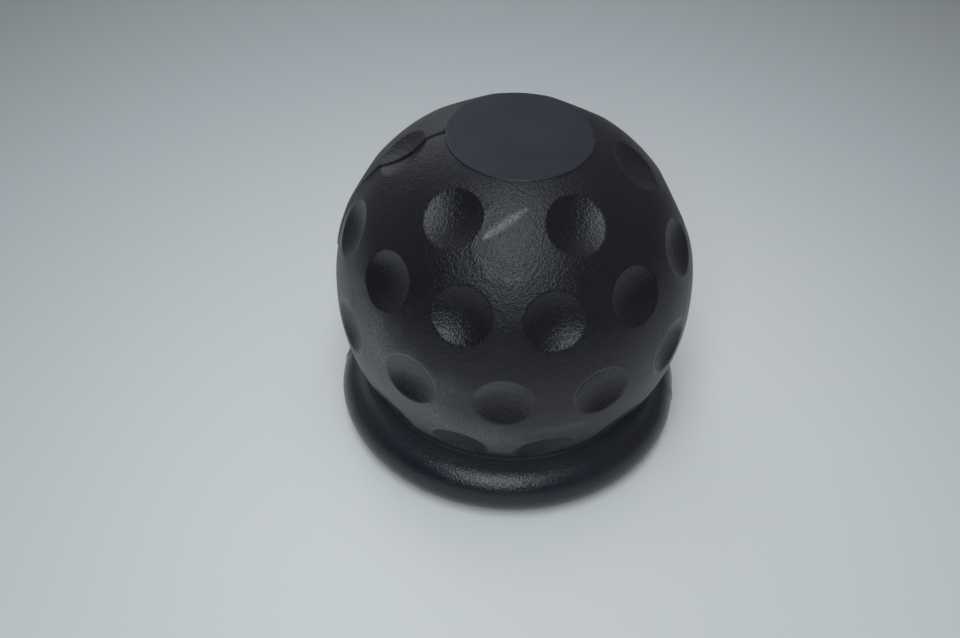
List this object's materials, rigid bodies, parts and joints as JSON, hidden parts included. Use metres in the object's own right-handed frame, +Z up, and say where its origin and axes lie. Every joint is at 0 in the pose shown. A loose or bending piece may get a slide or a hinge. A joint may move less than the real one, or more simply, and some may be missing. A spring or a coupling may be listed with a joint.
{
  "type": "tow ball cover",
  "caption": "Soft rubber tow ball cover: a dimpled hollow ball with a flat pad on its crown and a rounded collar round its open mouth.",
  "frame": {"origin": "centre of the collar's flat base, on the surface that the cover stands on", "axes": "+Z up the cover's axis from the open mouth to the flat pad; -Y is the front, and the mould parts on the XZ plane"},
  "size_m": [0.0706, 0.0706, 0.0665],
  "materials": {
    "black_rubber": "satin, fine moulded grain"
  },
  "bodies": {
    "root": {"ball_cover": "black_rubber"}
  },
  "joints": []
}
